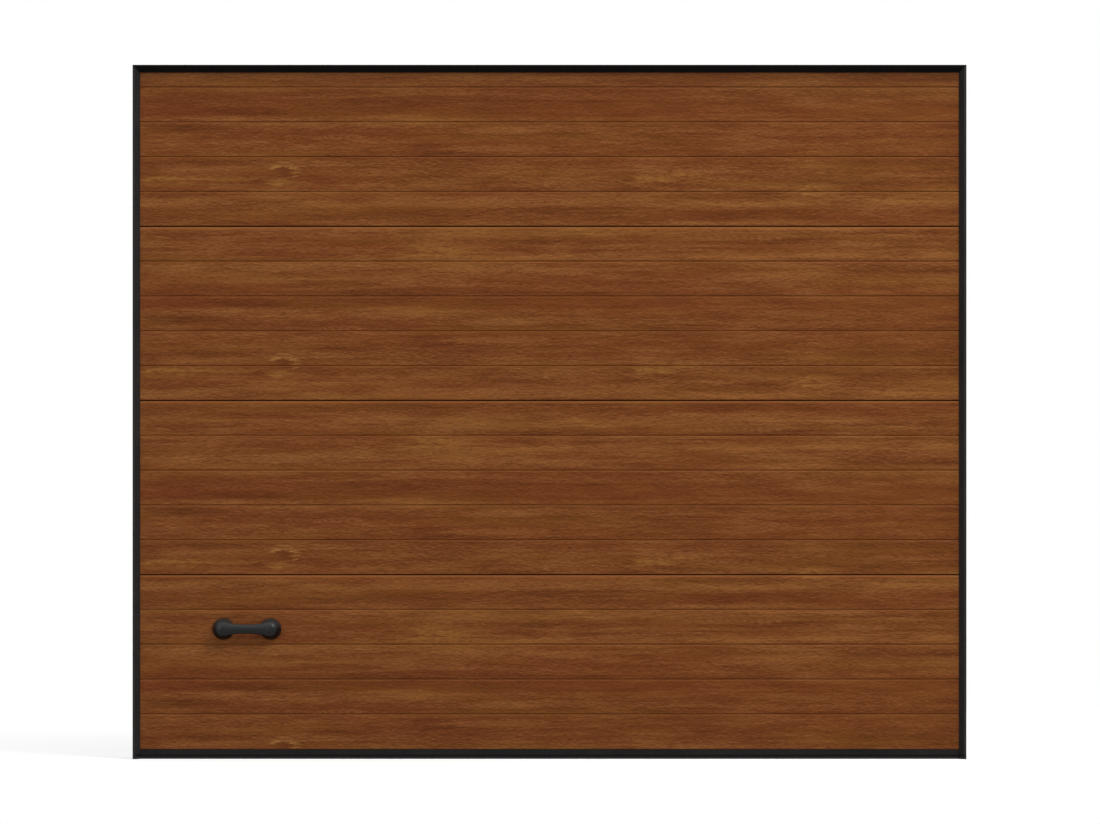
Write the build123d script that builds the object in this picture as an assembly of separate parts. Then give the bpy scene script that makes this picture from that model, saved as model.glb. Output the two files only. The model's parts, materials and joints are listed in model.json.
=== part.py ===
"""Sectional overhead garage door, closed, with its frame, tracks and springs.

The model is drawn about the door's centre line and moved to the foot of the
left post on export: X across the door, Y into the garage, Z up, millimetres.
"""
import os
from build123d import *

# Opening and frame
FRAME_WIDTH = 2390.0
FRAME_HEIGHT = 1990.0
BORDER = 20.0
STEEL = 2.5
FLANGE = 7.0
POST_DEPTH = 120.0
HEADER_DEPTH = 16.0
POST_HOLE_R = 4.5
HEADER_HOLE_R = 2.75
POST_HOLE_PITCH = 560.0
HEADER_HOLE_PITCH = 720.0

# Leaf
LEAF_FACE_Y = 18.0
LEAF_THICKNESS = 40.0
SIDE_CLEARANCE = 10.0
LEAF_BOTTOM = 28.0
SECTION_HEIGHT = 500.0
RIB_PITCH = 100.0
RIB_HALF = 4.0
RIB_DEPTH = 3.0
BACK_RIB_HALF = 3.0
BACK_RIB_DEPTH = 1.2
JOINT_GAP = 2.0
TONGUE = 7.0
TONGUE_GAP = 1.5
CAP_STEEL = 1.2
CAP_RETURN = 44.0

# Hinges and rollers
PLATE = 2.5
PIN_R = 3.0
PIN_FIT = 0.2
KNUCKLE_R = 6.5
KNUCKLE_GAP = 0.5
HINGE_LENGTH = 60.0
HINGE_REACH = 66.0
HINGE_NEAR = 8.0
BRACKET_CLEARANCE = 24.0
BRACKET_WIDTH = 42.0
ROLLER_R = 23.0
ROLLER_WIDTH = 14.0
ROLLER_INSET = 15.0
SHAFT_R = 5.5
SHAFT_FIT = 0.3
TUBE_R = 8.5
BOTTOM_ROLLER_Z = 80.0
TOP_ROLLER_RISE = 160.0

# Tracks
TRACK_Y = 90.0
TRACK_WIDTH = 52.0
TRACK_DEPTH = 28.0
TRACK_WALL = 2.0
TRACK_SLOT = 32.0
TRACK_PACKER = 2.5
TRACK_FOOT = 5.0
BEND_R = 285.0
BEND_DROP = 270.0
TRACK_END_Y = 2428.0
CLIP_FOOT = 120.0
CLIP_PITCH = 440.0
CLIP_HEIGHT = 60.0
CLIP_WIDTH = 50.0

# Counterbalance
TORSION_OFFSET = 72.0
TORSION_RISE = 7.0
TORSION_R = 12.7
BORE_FIT = 0.2
DRUM_R = 48.0
CABLE_R = 2.0
CABLE_INSET = 10.0
CABLE_STAND = 10.0
PULLEY_R = 25.0
SPRING_R = 30.0
SPRING_WIRE = 5.5
SPRING_START = 12.0
SPRING_LENGTH = 620.0
CEILING_RISE = 310.0
HANGER_WIDTH = 42.0
HANGER_FOOT = 48.0
HANGER_HOLES = 70.0
BAR_WALL = 3.0
BAR_LEG = 18.0
BAR_HEIGHT = 60.0
BAR_DROP = 33.0
BEARING_R = 26.0
BEARING_LENGTH = 9.0

# Handle
HANDLE_INSET = 326.3
HANDLE_Z = 373.0
HANDLE_PITCH = 136.0
HANDLE_BASE_R = 31.0
HANDLE_REACH = 38.0
HANDLE_BAR_THICK = 15.0
HANDLE_BAR_MID = 25.0
HANDLE_FLARE = 19.0
BOLT_R = 4.0

HALF = FRAME_WIDTH / 2
LEG_IN = HALF - STEEL
LEAF_HALF_WIDTH = HALF - SIDE_CLEARANCE
LEAF_TOP = FRAME_HEIGHT - FLANGE
LEAF_BACK_Y = LEAF_FACE_Y + LEAF_THICKNESS
MID_HINGE_X = (-HALF * 0.47, 0.0, HALF * 0.47)
HANDLE_X = HANDLE_INSET - HALF
TRACK_WEB_X = LEG_IN - TRACK_PACKER
TRACK_MOUTH_X = TRACK_WEB_X - TRACK_DEPTH
ROLLER_X = TRACK_WEB_X - ROLLER_INSET
CABLE_X = TRACK_MOUTH_X - CABLE_INSET
CABLE_Y = LEAF_BACK_Y + CABLE_STAND
BRACKET_OUT = TRACK_MOUTH_X - BRACKET_CLEARANCE
BEND_Y = TRACK_Y + BEND_R
BEND_Z = FRAME_HEIGHT - BEND_DROP
TOP_ROLLER_Z = BEND_Z + TOP_ROLLER_RISE
CEILING_Z = FRAME_HEIGHT + CEILING_RISE
TORSION_Y = TRACK_END_Y + TORSION_OFFSET
TORSION_Z = BEND_Z + BEND_R + TORSION_RISE
RUN_Z = BEND_Z + BEND_R
PIN_Y = LEAF_BACK_Y + KNUCKLE_R + 1.5
CABLE_RUN_Z = TORSION_Z - DRUM_R - CABLE_R
PULLEY_Y = CABLE_Y + PULLEY_R + CABLE_R
PULLEY_Z = CABLE_RUN_Z - PULLEY_R - CABLE_R
JOINTS = [LEAF_BOTTOM + SECTION_HEIGHT * i for i in (1, 2, 3)]


def box(x0, x1, y0, y1, z0, z1):
    """Block between two corners."""
    centre = Pos((x0 + x1) / 2, (y0 + y1) / 2, (z0 + z1) / 2)
    return centre * Box(x1 - x0, y1 - y0, z1 - z0)


def rod_x(r, x0, x1, y, z):
    """Round bar along X."""
    return Pos((x0 + x1) / 2, y, z) * Rot(0, 90, 0) * Cylinder(r, x1 - x0)


def rod_y(r, y0, y1, x, z):
    """Round bar along Y."""
    return Pos(x, (y0 + y1) / 2, z) * Rot(90, 0, 0) * Cylinder(r, y1 - y0)


def rod_z(r, z0, z1, x, y):
    """Round bar along Z."""
    return Pos(x, y, (z0 + z1) / 2) * Cylinder(r, z1 - z0)


def prism_x(points, x0, x1):
    """Outline in Y and Z, run along X."""
    face = Plane.YZ.offset(x0) * Polygon(*points, align=None)
    return extrude(face, amount=x1 - x0, dir=(1, 0, 0))


def prism_y(points, y0, y1):
    """Outline in X and Z, run along Y."""
    face = Plane.XZ.offset(-y0) * Polygon(*points, align=None)
    return extrude(face, amount=y1 - y0, dir=(0, 1, 0))


def prism_z(points, z0, z1):
    """Outline in X and Y, run along Z."""
    face = Plane.XY.offset(z0) * Polygon(*points, align=None)
    return extrude(face, amount=z1 - z0, dir=(0, 0, 1))


def turned_x(points, y, z):
    """Outline of (x, radius) points turned about a line along X."""
    face = Plane.XZ * Polygon(*points, align=None)
    return Pos(0, y, z) * revolve(face, axis=Axis.X)


def keep_below_mitre(shape):
    """Trim an upright at the 45 degree corner with the header."""
    low = (HALF - 200, FRAME_HEIGHT - 200)
    high = (HALF + 200, FRAME_HEIGHT + 200)
    corner = (HALF - 200, FRAME_HEIGHT + 200)
    return shape - prism_y([low, high, corner], -50, 200)


def keep_above_mitre(shape):
    """Trim a top member at both 45 degree corners."""
    low = (HALF - 200, FRAME_HEIGHT - 200)
    high = (HALF + 200, FRAME_HEIGHT + 200)
    corner = (HALF + 200, FRAME_HEIGHT - 200)
    right = prism_y([low, corner, high], -50, 200)
    return shape - right - mirror(right, about=Plane.YZ)


def make_post():
    """Angle beside the opening: narrow front flange and deep side leg with fixing holes."""
    leg = box(LEG_IN, HALF, 0, POST_DEPTH, 0, FRAME_HEIGHT)
    post = leg + box(HALF - FLANGE, HALF, 0, STEEL, 0, FRAME_HEIGHT)
    for i in range(4):
        z = FRAME_HEIGHT / 2 + POST_HOLE_PITCH * (i - 1.5)
        post -= rod_x(POST_HOLE_R, LEG_IN - 5, HALF + 5, POST_DEPTH / 4, z)
    return keep_below_mitre(post)


def make_header():
    """Angle across the top of the opening with fixing holes up into the lintel."""
    top = FRAME_HEIGHT
    header = box(-HALF, HALF, 0, HEADER_DEPTH, top - STEEL, top)
    header += box(-HALF, HALF, 0, STEEL, top - FLANGE, top)
    for i in (-1.5, -0.5, 0.5, 1.5):
        x = HEADER_HOLE_PITCH * i
        header -= rod_z(HEADER_HOLE_R, top - 10, top + 10, x, HEADER_DEPTH / 2 + 1.5)
    return keep_above_mitre(header)


def seal_outline():
    """Sloping lip seal: (distance in from the frame's outer edge, depth) points."""
    tip = BORDER
    return [
        (FLANGE, 0.5),
        (tip - 0.8, LEAF_FACE_Y - 2.2),
        (tip, LEAF_FACE_Y - 0.2),
        (tip - 3.2, LEAF_FACE_Y - 0.2),
        (FLANGE + 0.5, 6.5),
        (STEEL, 6.5),
        (STEEL, STEEL),
        (FLANGE, STEEL),
    ]


def make_side_seal():
    """Rubber lip along a post, from its front flange back to the leaf's face."""
    points = [(HALF - a, b) for a, b in seal_outline()]
    return keep_below_mitre(prism_z(points, 0, FRAME_HEIGHT))


def make_top_seal():
    """Rubber lip along the header."""
    points = [(b, FRAME_HEIGHT - a) for a, b in seal_outline()]
    return keep_above_mitre(prism_x(points, -HALF, HALF))


def groove_points(y, z, half, depth, side):
    """Softened V groove across a face, walked upwards; side is the way it cuts."""
    steps = ((-1, 0), (-0.55, 0.2), (-0.25, 1), (0.25, 1), (0.55, 0.2), (1, 0))
    return [(y + side * depth * d, z + half * h) for h, d in steps]


def rib_levels(bottom, top):
    """Heights of the grooves inside one section."""
    levels = []
    z = bottom + RIB_PITCH
    while z < top - RIB_PITCH / 4:
        levels.append(z)
        z += RIB_PITCH
    return levels


def make_section(bottom, top, first, last):
    """Ribbed foam-filled section with a tongue on top and a groove underneath."""
    front, back, half_gap = LEAF_FACE_Y, LEAF_BACK_Y, JOINT_GAP / 2
    neck = TONGUE_GAP
    points = []
    if first:
        points += [(front + 1, bottom), (front, bottom + 1)]
    else:
        points += [(front + 2, bottom + half_gap), (front, bottom + half_gap + 2)]
    for z in rib_levels(bottom, top):
        points += groove_points(front, z, RIB_HALF, RIB_DEPTH, 1)
    if last:
        points += [(front, top - 1), (front + 1, top), (back - 1, top), (back, top - 1)]
    else:
        low, high = top - half_gap, top + TONGUE
        points += [(front, low - 2), (front + 2, low), (front + 11, low)]
        points += [(front + 13, high), (back - 9, high), (back - 7, low)]
        points += [(back - 2, low), (back, low - 2)]
    for z in reversed(rib_levels(bottom, top)):
        points += reversed(groove_points(back, z, BACK_RIB_HALF, BACK_RIB_DEPTH, -1))
    if first:
        points += [(back, bottom + 1), (back - 1, bottom)]
    else:
        low, high = bottom + half_gap, bottom + TONGUE + TONGUE_GAP
        points += [(back, low + 2), (back - 2, low), (back - 7 + neck, low)]
        points += [(back - 9 + neck, high), (front + 13 - neck, high)]
        points += [(front + 11 - neck, low)]
    section = prism_x(points, -LEAF_HALF_WIDTH, LEAF_HALF_WIDTH)
    if first:
        for side in (-1, 1):
            x = HANDLE_X + side * HANDLE_PITCH / 2
            section -= rod_y(BOLT_R + BORE_FIT, front - 5, back + 5, x, HANDLE_Z)
    return section


def make_end_caps():
    """Pressed steel caps on the section ends, returned on to the back skin."""
    edges = [LEAF_BOTTOM] + JOINTS + [LEAF_TOP]
    end, back = LEAF_HALF_WIDTH, LEAF_BACK_Y
    caps = []
    for bottom, top in zip(edges, edges[1:]):
        low, high = bottom + 12, top - 5
        cap = box(end, end + CAP_STEEL, LEAF_FACE_Y + 4, back + CAP_STEEL, low, high)
        cap += box(end - CAP_RETURN, end + CAP_STEEL, back, back + CAP_STEEL, low, high)
        caps.append(cap)
    return caps


def make_bottom_rail():
    """Dark channel under the lowest section that grips the floor seal."""
    front, back, top = LEAF_FACE_Y + 0.8, LEAF_BACK_Y - 0.8, LEAF_BOTTOM
    length = LEAF_HALF_WIDTH
    rail = box(-length, length, front, back, top - 3, top)
    for y0 in (front, back - 2.2):
        rail += box(-length, length, y0, y0 + 2.2, 12, top)
    rail += box(-length, length, front, front + 5, 12, 14)
    rail += box(-length, length, back - 5, back, 12, 14)
    return rail


def make_bottom_seal():
    """Hollow rubber seal held in the bottom rail and resting on the floor."""
    front, back, length = LEAF_FACE_Y + 0.8, LEAF_BACK_Y - 0.8, LEAF_HALF_WIDTH
    outer = [(front + 2, 0), (back - 2, 0), (back, 2), (back, 5.5), (back - 1.6, 6.5)]
    outer += [(back - 1.6, 7.6), (back, 8.6), (back, 11.9), (back - 5.2, 11.9)]
    outer += [(back - 5.2, 14.2), (back - 2.6, 14.2), (back - 2.6, 17.2)]
    outer += [(front + 2.6, 17.2), (front + 2.6, 14.2), (front + 5.2, 14.2)]
    outer += [(front + 5.2, 11.9), (front, 11.9), (front, 8.6), (front + 1.6, 7.6)]
    outer += [(front + 1.6, 6.5), (front, 5.5), (front, 2)]
    hollow = [(front + 4, 2.6), (back - 4, 2.6), (back - 4, 8.8), (back - 8, 11)]
    hollow += [(front + 8, 11), (front + 4, 8.8)]
    return prism_x(outer, -length, length) - prism_x(hollow, -length - 1, length + 1)


def make_top_rail():
    """Aluminium angle over the top edge and down the back of the top section."""
    length = LEAF_HALF_WIDTH - CAP_RETURN - 4
    front, back, top = LEAF_FACE_Y + 2, LEAF_BACK_Y, LEAF_TOP
    rail = box(-length, length, front, back + 1.8, top, top + 1.8)
    return rail + box(-length, length, back, back + 1.8, top - 32, top)


def make_handle():
    """Pull handle: two domed feet joined by a waisted bar."""
    face, reach = LEAF_FACE_Y, HANDLE_REACH
    tip, r = face - reach, HANDLE_BASE_R
    foot = Line((0, face), (r, face))
    rim = Line((r, face), (r, face - 4))
    curve = [(r, face - 4), (r * 0.93, face - 12), (r * 0.76, face - 24), (0, tip)]
    dome = Spline(*curve, tangents=[(0, -1), (-1, 0)])
    axis = Line((0, tip), (0, face))
    knob = revolve(make_face([foot, rim, dome, axis]), axis=Axis.Y)
    half, front = HANDLE_PITCH / 2, tip + 1
    end = half - 8
    shapes = []
    for i in range(-4, 5):
        share = abs(i) / 4
        height = HANDLE_BAR_MID + HANDLE_FLARE * share**3
        thick = HANDLE_BAR_THICK + HANDLE_FLARE * 0.5 * share**3
        plane = Plane.YZ.offset(end * i / 4)
        shapes.append(plane * Pos(front + thick / 2, 0) * Ellipse(thick / 2, height / 2))
    handle = loft(shapes)
    for side in (-1, 1):
        handle += Pos(side * half, 0, 0) * knob
    return Pos(HANDLE_X, 0, HANDLE_Z) * handle


def make_handle_bolts():
    """Bolts from the handle's feet through the leaf, with washer and nut."""
    bolts = []
    back = LEAF_BACK_Y
    for side in (-1, 1):
        x = HANDLE_X + side * HANDLE_PITCH / 2
        bolt = rod_y(BOLT_R, LEAF_FACE_Y, back + 11, x, HANDLE_Z)
        bolt += rod_y(10, back, back + 1.6, x, HANDLE_Z)
        nut = Plane.XZ.offset(-(back + 1.6)) * RegularPolygon(7.5, 6)
        bolt += Pos(x, 0, HANDLE_Z) * extrude(nut, amount=-6.5)
        bolts.append(bolt)
    return bolts


def hinge_leaf(x0, x1, z, up, spans):
    """Hinge plate on the back skin with knuckles round the pin."""
    back = LEAF_BACK_Y
    sign = 1 if up else -1
    z0, z1 = sorted((z + sign * HINGE_NEAR, z + sign * HINGE_REACH))
    leaf = box(x0, x1, back, back + PLATE, z0, z1)
    for a, b in spans:
        t0, t1 = sorted((z, z + sign * (HINGE_NEAR + 2)))
        leaf += box(a, b, back, back + PLATE, t0, t1)
        leaf += box(a, b, back, PIN_Y, *sorted((z, z + sign * 4)))
        leaf += rod_x(KNUCKLE_R, a, b, PIN_Y, z)
        leaf -= rod_x(PIN_R + PIN_FIT, a - 1, b + 1, PIN_Y, z)
    return leaf


def hinge_parts(x0, x1, z):
    """Lower leaf, upper leaf and pin of one hinge."""
    third = (x1 - x0) / 3
    left, right = (x0, x0 + third - KNUCKLE_GAP), (x1 - third + KNUCKLE_GAP, x1)
    middle = (x0 + third + KNUCKLE_GAP, x1 - third - KNUCKLE_GAP)
    lower = hinge_leaf(x0, x1, z, False, [left, right])
    upper = hinge_leaf(x0, x1, z, True, [middle])
    pin = rod_x(PIN_R, x0 - 1, x1 + 1, PIN_Y, z)
    return lower, upper, pin


def make_mid_hinges(z):
    """Hinges along one joint between the end brackets."""
    parts = []
    for x in MID_HINGE_X:
        half = HINGE_LENGTH / 2
        lower, upper, pin = hinge_parts(x - half, x + half, z)
        pin += rod_x(PIN_R + 1.6, x - half - 2.6, x - half - 0.4, PIN_Y, z)
        parts += [lower, upper, pin]
    return parts


def roller_tube(y, z):
    """Tube that holds a roller's shaft."""
    tube = rod_x(TUBE_R, BRACKET_OUT - BRACKET_WIDTH, BRACKET_OUT, y, z)
    inner = BRACKET_OUT - BRACKET_WIDTH
    return tube, rod_x(SHAFT_R + SHAFT_FIT, inner - 50, BRACKET_OUT + 10, y, z)


def make_joint_bracket(z):
    """End hinge whose upper leaf carries a roller tube."""
    out, back = BRACKET_OUT, LEAF_BACK_Y
    inner = out - BRACKET_WIDTH
    lower, upper, pin = hinge_parts(inner + PLATE + 1, out - PLATE - 1, z)
    tube, bore = roller_tube(TRACK_Y, z)
    reach, near = z + HINGE_REACH, z + HINGE_NEAR
    outline = [(back, near), (back, reach), (back + 9, reach - 6), (TRACK_Y + 7, z + 6)]
    outline += [(TRACK_Y + 7, z - 4), (TRACK_Y - 6, z - 6), (PIN_Y + 8.5, z + 1)]
    outline += [(PIN_Y + 5, z + 9), (back + 5, z + 10)]
    for x in (inner, out - PLATE):
        upper += prism_x(outline, x, x + PLATE)
    upper += box(inner, out, back, back + PLATE, near, reach)
    upper = upper + tube - bore
    return [lower, upper, pin]


def make_bottom_bracket():
    """Bracket on the lowest section: roller tube and cable anchor stud."""
    out, back, z = BRACKET_OUT, LEAF_BACK_Y, BOTTOM_ROLLER_Z
    inner = out - BRACKET_WIDTH
    bracket = box(inner, out, back, back + PLATE, z - 42, z + 60)
    outline = [(back, z - 38), (back, z + 50), (TRACK_Y + 7, z + 8), (TRACK_Y + 7, z - 8)]
    outline += [(back + 22, z - 30)]
    for x in (inner, out - PLATE):
        bracket += prism_x(outline, x, x + PLATE)
    tube, bore = roller_tube(TRACK_Y, z)
    bracket = bracket + tube - bore
    bracket += rod_x(4, out - 1, CABLE_X + 5, CABLE_Y, z - 20)
    bracket += rod_x(7, CABLE_X + 5, CABLE_X + 7.5, CABLE_Y, z - 20)
    return bracket


def top_roller_y():
    """Depth of the top roller, on the bend's centre line."""
    rise = TOP_ROLLER_Z - BEND_Z
    return BEND_Y - (BEND_R**2 - rise**2) ** 0.5


def make_top_bracket():
    """Long bracket that reaches back to the roller in the bend."""
    out, back, z, y = BRACKET_OUT, LEAF_BACK_Y, TOP_ROLLER_Z, top_roller_y()
    inner = out - BRACKET_WIDTH
    bracket = box(inner, out, back, back + PLATE, z - 45, z + 60)
    outline = [(back, z - 40), (back, z + 50), (back + 16, z + 34), (y + 6, z + 9)]
    outline += [(y + 9, z), (y + 6, z - 9), (back + 30, z - 16)]
    for x in (inner, out - PLATE):
        bracket += prism_x(outline, x, x + PLATE)
    tube, bore = roller_tube(y, z)
    return bracket + tube - bore


def make_roller_brackets():
    """All brackets on one side of the leaf."""
    parts = [make_bottom_bracket(), make_top_bracket()]
    for z in JOINTS:
        parts += make_joint_bracket(z)
    return parts


def roller_places():
    """Depth and height of each roller on one side."""
    places = [(TRACK_Y, BOTTOM_ROLLER_Z)]
    places += [(TRACK_Y, z) for z in JOINTS]
    places.append((top_roller_y(), TOP_ROLLER_Z))
    return places


def make_rollers():
    """Nylon wheels of one side."""
    half = ROLLER_WIDTH / 2
    outline = [(-half, SHAFT_R), (-half, 11), (-half + 3, 12), (-half + 3, 18)]
    outline += [(-half, 19), (-half, ROLLER_R - 3), (-half + 3, ROLLER_R)]
    outline += [(half - 3, ROLLER_R), (half, ROLLER_R - 3), (half, SHAFT_R)]
    wheels = []
    for y, z in roller_places():
        points = [(ROLLER_X + x, r) for x, r in outline]
        wheels.append(turned_x(points, y, z))
    return wheels


def make_roller_shafts():
    """Steel shafts of one side's rollers."""
    inner, outer = BRACKET_OUT - BRACKET_WIDTH - 4, ROLLER_X + ROLLER_WIDTH / 2
    return [rod_x(SHAFT_R, inner, outer, y, z) for y, z in roller_places()]


def track_outline(centre):
    """C channel open towards the door: (x, distance) points about a centre line."""
    half, wall, lip = TRACK_WIDTH / 2, TRACK_WALL, TRACK_SLOT / 2
    web, mouth = TRACK_WEB_X, TRACK_MOUTH_X
    side = [(web, half), (mouth, half), (mouth, lip), (mouth + wall, lip)]
    side += [(mouth + wall, half - wall), (web - wall, half - wall)]
    points = side + [(x, -d) for x, d in reversed(side)]
    return [(x, centre + d) for x, d in points]


def make_vertical_track():
    """Upright channel from the floor to the bend."""
    return prism_z(track_outline(TRACK_Y), TRACK_FOOT, BEND_Z)


def make_track_bend():
    """Quarter bend that turns the channel back into the garage."""
    face = Plane.XZ.offset(-BEND_Y) * Polygon(*track_outline(RUN_Z), align=None)
    axis = Axis((0, BEND_Y, BEND_Z), (1, 0, 0))
    return revolve(face, axis=axis, revolution_arc=90)


def make_horizontal_track():
    """Straight channel under the ceiling."""
    return prism_y(track_outline(RUN_Z), BEND_Y, TRACK_END_Y)


def make_track_plates():
    """Packing clips and the corner plate between track and post."""
    web, leg = TRACK_WEB_X, LEG_IN
    plates = []
    near = TRACK_Y - TRACK_WIDTH / 2 + 4
    half = CLIP_HEIGHT / 2
    for i in range(4):
        z = CLIP_FOOT + CLIP_PITCH * i
        plates.append(box(web, leg, near, near + CLIP_WIDTH, z - half, z + half))
    low, top = BEND_Z - CLIP_HEIGHT, RUN_Z + TRACK_WIDTH / 2 - 4
    bottom, far = RUN_Z - TRACK_WIDTH / 2 + 4, BEND_Y + BEND_R * 0.32
    corner = [(near, low), (near + 48, low)]
    corner += [(BEND_Y - BEND_R * 0.75, BEND_Z + BEND_R * 0.47)]
    corner += [(BEND_Y - BEND_R * 0.42, BEND_Z + BEND_R * 0.81), (BEND_Y, bottom)]
    corner += [(far, bottom), (far, top), (BEND_Y - BEND_R * 0.21, top)]
    corner += [(near, FRAME_HEIGHT - 24)]
    plates.append(prism_x(corner, web, leg))
    return plates


def make_cable_pulley():
    """Grooved wheel on an axle from the corner plate."""
    r, rim, x = PULLEY_R, PULLEY_R + 5, CABLE_X
    outline = [(x - 6, 5 + BORE_FIT), (x - 6, rim), (x - 3.5, rim), (x - 2.2, r)]
    outline += [(x + 2.2, r), (x + 3.5, rim), (x + 6, rim), (x + 6, 5 + BORE_FIT)]
    wheel = turned_x(outline, PULLEY_Y, PULLEY_Z)
    axle = rod_x(5, x - 8, TRACK_WEB_X, PULLEY_Y, PULLEY_Z)
    axle += rod_x(8, x - 10, x - 6.2, PULLEY_Y, PULLEY_Z)
    axle += rod_x(8, x + 6.2, x + 9.5, PULLEY_Y, PULLEY_Z)
    return [wheel, axle]


def make_lift_cable():
    """Cable from the bottom bracket over the pulley and back on to the drum."""
    x, r, low = CABLE_X, CABLE_R, BOTTOM_ROLLER_Z - 20
    eye_r = 4 + CABLE_R + 0.2
    bend = PULLEY_R + CABLE_R
    wrap = DRUM_R + CABLE_R
    start = low + eye_r + 2
    rise = Line((x, CABLE_Y, start), (x, CABLE_Y, PULLEY_Z))
    over = ThreePointArc(
        (x, CABLE_Y, PULLEY_Z),
        (x, PULLEY_Y - bend * 0.5**0.5, PULLEY_Z + bend * 0.5**0.5),
        (x, PULLEY_Y, CABLE_RUN_Z),
    )
    run = Line((x, PULLEY_Y, CABLE_RUN_Z), (x, TORSION_Y, CABLE_RUN_Z))
    wound = ThreePointArc(
        (x, TORSION_Y, CABLE_RUN_Z),
        (x, TORSION_Y + wrap, TORSION_Z),
        (x, TORSION_Y, TORSION_Z + wrap),
    )
    path = Wire([rise, over, run, wound])
    cable = sweep(Pos(x, CABLE_Y, start) * Circle(r), path=path)
    cable += rod_z(4.2, start - 3, start + 20, x, CABLE_Y)
    return cable + Pos(x, CABLE_Y, low) * Rot(0, 90, 0) * Torus(eye_r, r)


def make_bearing_plate():
    """End plate on the track that carries the shaft's bearing."""
    web, leg, y, z = TRACK_WEB_X, LEG_IN, TORSION_Y, TORSION_Z
    outline = [(TRACK_END_Y - 90, z - 30), (y, z - 48), (y + 34, z - 30), (y + 34, z + 34)]
    outline += [(y + 10, z + 48), (TRACK_END_Y - 60, z + 34), (TRACK_END_Y - 90, z + 16)]
    plate = prism_x(outline, web, leg)
    plate += rod_x(BEARING_R, web - BEARING_LENGTH, web, y, z)
    return plate - rod_x(TORSION_R + BORE_FIT, web - 20, leg + 5, y, z)


def make_rear_hanger():
    """Strap from the bearing plate up to a drilled foot on the ceiling."""
    y1 = TRACK_END_Y - 8
    y0 = y1 - HANGER_WIDTH
    hanger = box(LEG_IN, HALF, y0, y1, TORSION_Z - 28, CEILING_Z)
    foot, z = HALF - HANGER_FOOT, CEILING_Z
    hanger += box(foot, HALF, y0 - 30, y1 + 30, z - STEEL, z)
    for side in (-1, 1):
        y = (y0 + y1) / 2 + side * HANGER_HOLES / 2
        hanger -= rod_z(POST_HOLE_R, z - 10, z + 10, foot + HANGER_FOOT / 2 - 2, y)
    return hanger


def make_cross_bar():
    """Angle between the ends of the two horizontal tracks."""
    y, z, web = TRACK_END_Y, RUN_Z, TRACK_WEB_X
    low = z - BAR_DROP
    bar = box(-web, web, y, y + BAR_WALL, low, low + BAR_HEIGHT)
    return bar + box(-web, web, y, y + BAR_LEG, low, low + BAR_WALL)


def make_centre_bearing():
    """Plate on the cross bar that holds the shaft and both springs' fixed ends."""
    y, z, face = TORSION_Y, TORSION_Z, TRACK_END_Y + BAR_WALL
    low = RUN_Z - BAR_DROP + BAR_WALL
    outline = [(face, low), (TRACK_END_Y + BAR_LEG, low), (y + 20, z - 40)]
    outline += [(y + 38, z - 20), (y + 38, z + 20), (y + 20, z + 40)]
    outline += [(face, z + 34)]
    plate = prism_x(outline, -2, 2)
    return plate - rod_x(TORSION_R + BORE_FIT, -10, 10, y, z)


def make_torsion_shaft():
    """Round shaft across the back."""
    end = LEG_IN + 1
    return rod_x(TORSION_R, -end, end, TORSION_Y, TORSION_Z)


def make_spring():
    """Torsion spring of one side."""
    inner = SPRING_R - SPRING_WIRE
    x0 = SPRING_START
    x1 = x0 + SPRING_LENGTH
    outline = [(x0, inner), (x0, SPRING_R), (x1, SPRING_R), (x1, inner)]
    return turned_x(outline, TORSION_Y, TORSION_Z)


def make_spring_cones():
    """Fixed cone at the centre plate and winding cone at the far end, one side."""
    bore, plug = TORSION_R + BORE_FIT, SPRING_R - SPRING_WIRE
    x0 = SPRING_START
    x1 = x0 + SPRING_LENGTH
    fixed = [(2, bore), (2, SPRING_R + 6), (x0 - 2, SPRING_R + 6), (x0, plug)]
    fixed += [(x0 + 55, plug), (x0 + 60, plug - 2), (x0 + 60, bore)]
    wound = [(x1 - 60, bore), (x1 - 60, plug - 2), (x1 - 55, plug), (x1, plug)]
    wound += [(x1 + 2, SPRING_R + 2), (x1 + 12, SPRING_R + 2), (x1 + 20, SPRING_R - 4)]
    wound += [(x1 + 52, SPRING_R - 4), (x1 + 52, bore)]
    return [turned_x(fixed, TORSION_Y, TORSION_Z), turned_x(wound, TORSION_Y, TORSION_Z)]


def make_cable_drum():
    """Drum that winds the lift cable."""
    bore, x = TORSION_R + BORE_FIT, CABLE_X
    outline = [(x - 44, bore), (x - 44, 22), (x - 20, 22), (x - 20, DRUM_R - 4)]
    outline += [(x - 16, DRUM_R), (x + 20, DRUM_R), (x + 20, DRUM_R + 9)]
    outline += [(x + 24, DRUM_R + 9), (x + 24, bore)]
    return turned_x(outline, TORSION_Y, TORSION_Z)


def save(name, shapes):
    """Write one node in the frame whose origin is the foot of the left post."""
    solids = []
    for shape in shapes if isinstance(shapes, list) else [shapes]:
        solids += (Pos(HALF, 0, 0) * shape).solids()
    body = Compound(children=solids) if len(solids) > 1 else solids[0]
    export_step(body, "parts/" + name + ".step")


def save_pair(name, shapes):
    """Write a right-hand node and its mirror image."""
    shapes = shapes if isinstance(shapes, list) else [shapes]
    save(name + "_right", shapes)
    save(name + "_left", [mirror(shape, about=Plane.YZ) for shape in shapes])


def save_both(name, shapes):
    """Write right-hand pieces and their mirror images as one node."""
    shapes = shapes if isinstance(shapes, list) else [shapes]
    save(name, shapes + [mirror(shape, about=Plane.YZ) for shape in shapes])


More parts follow.
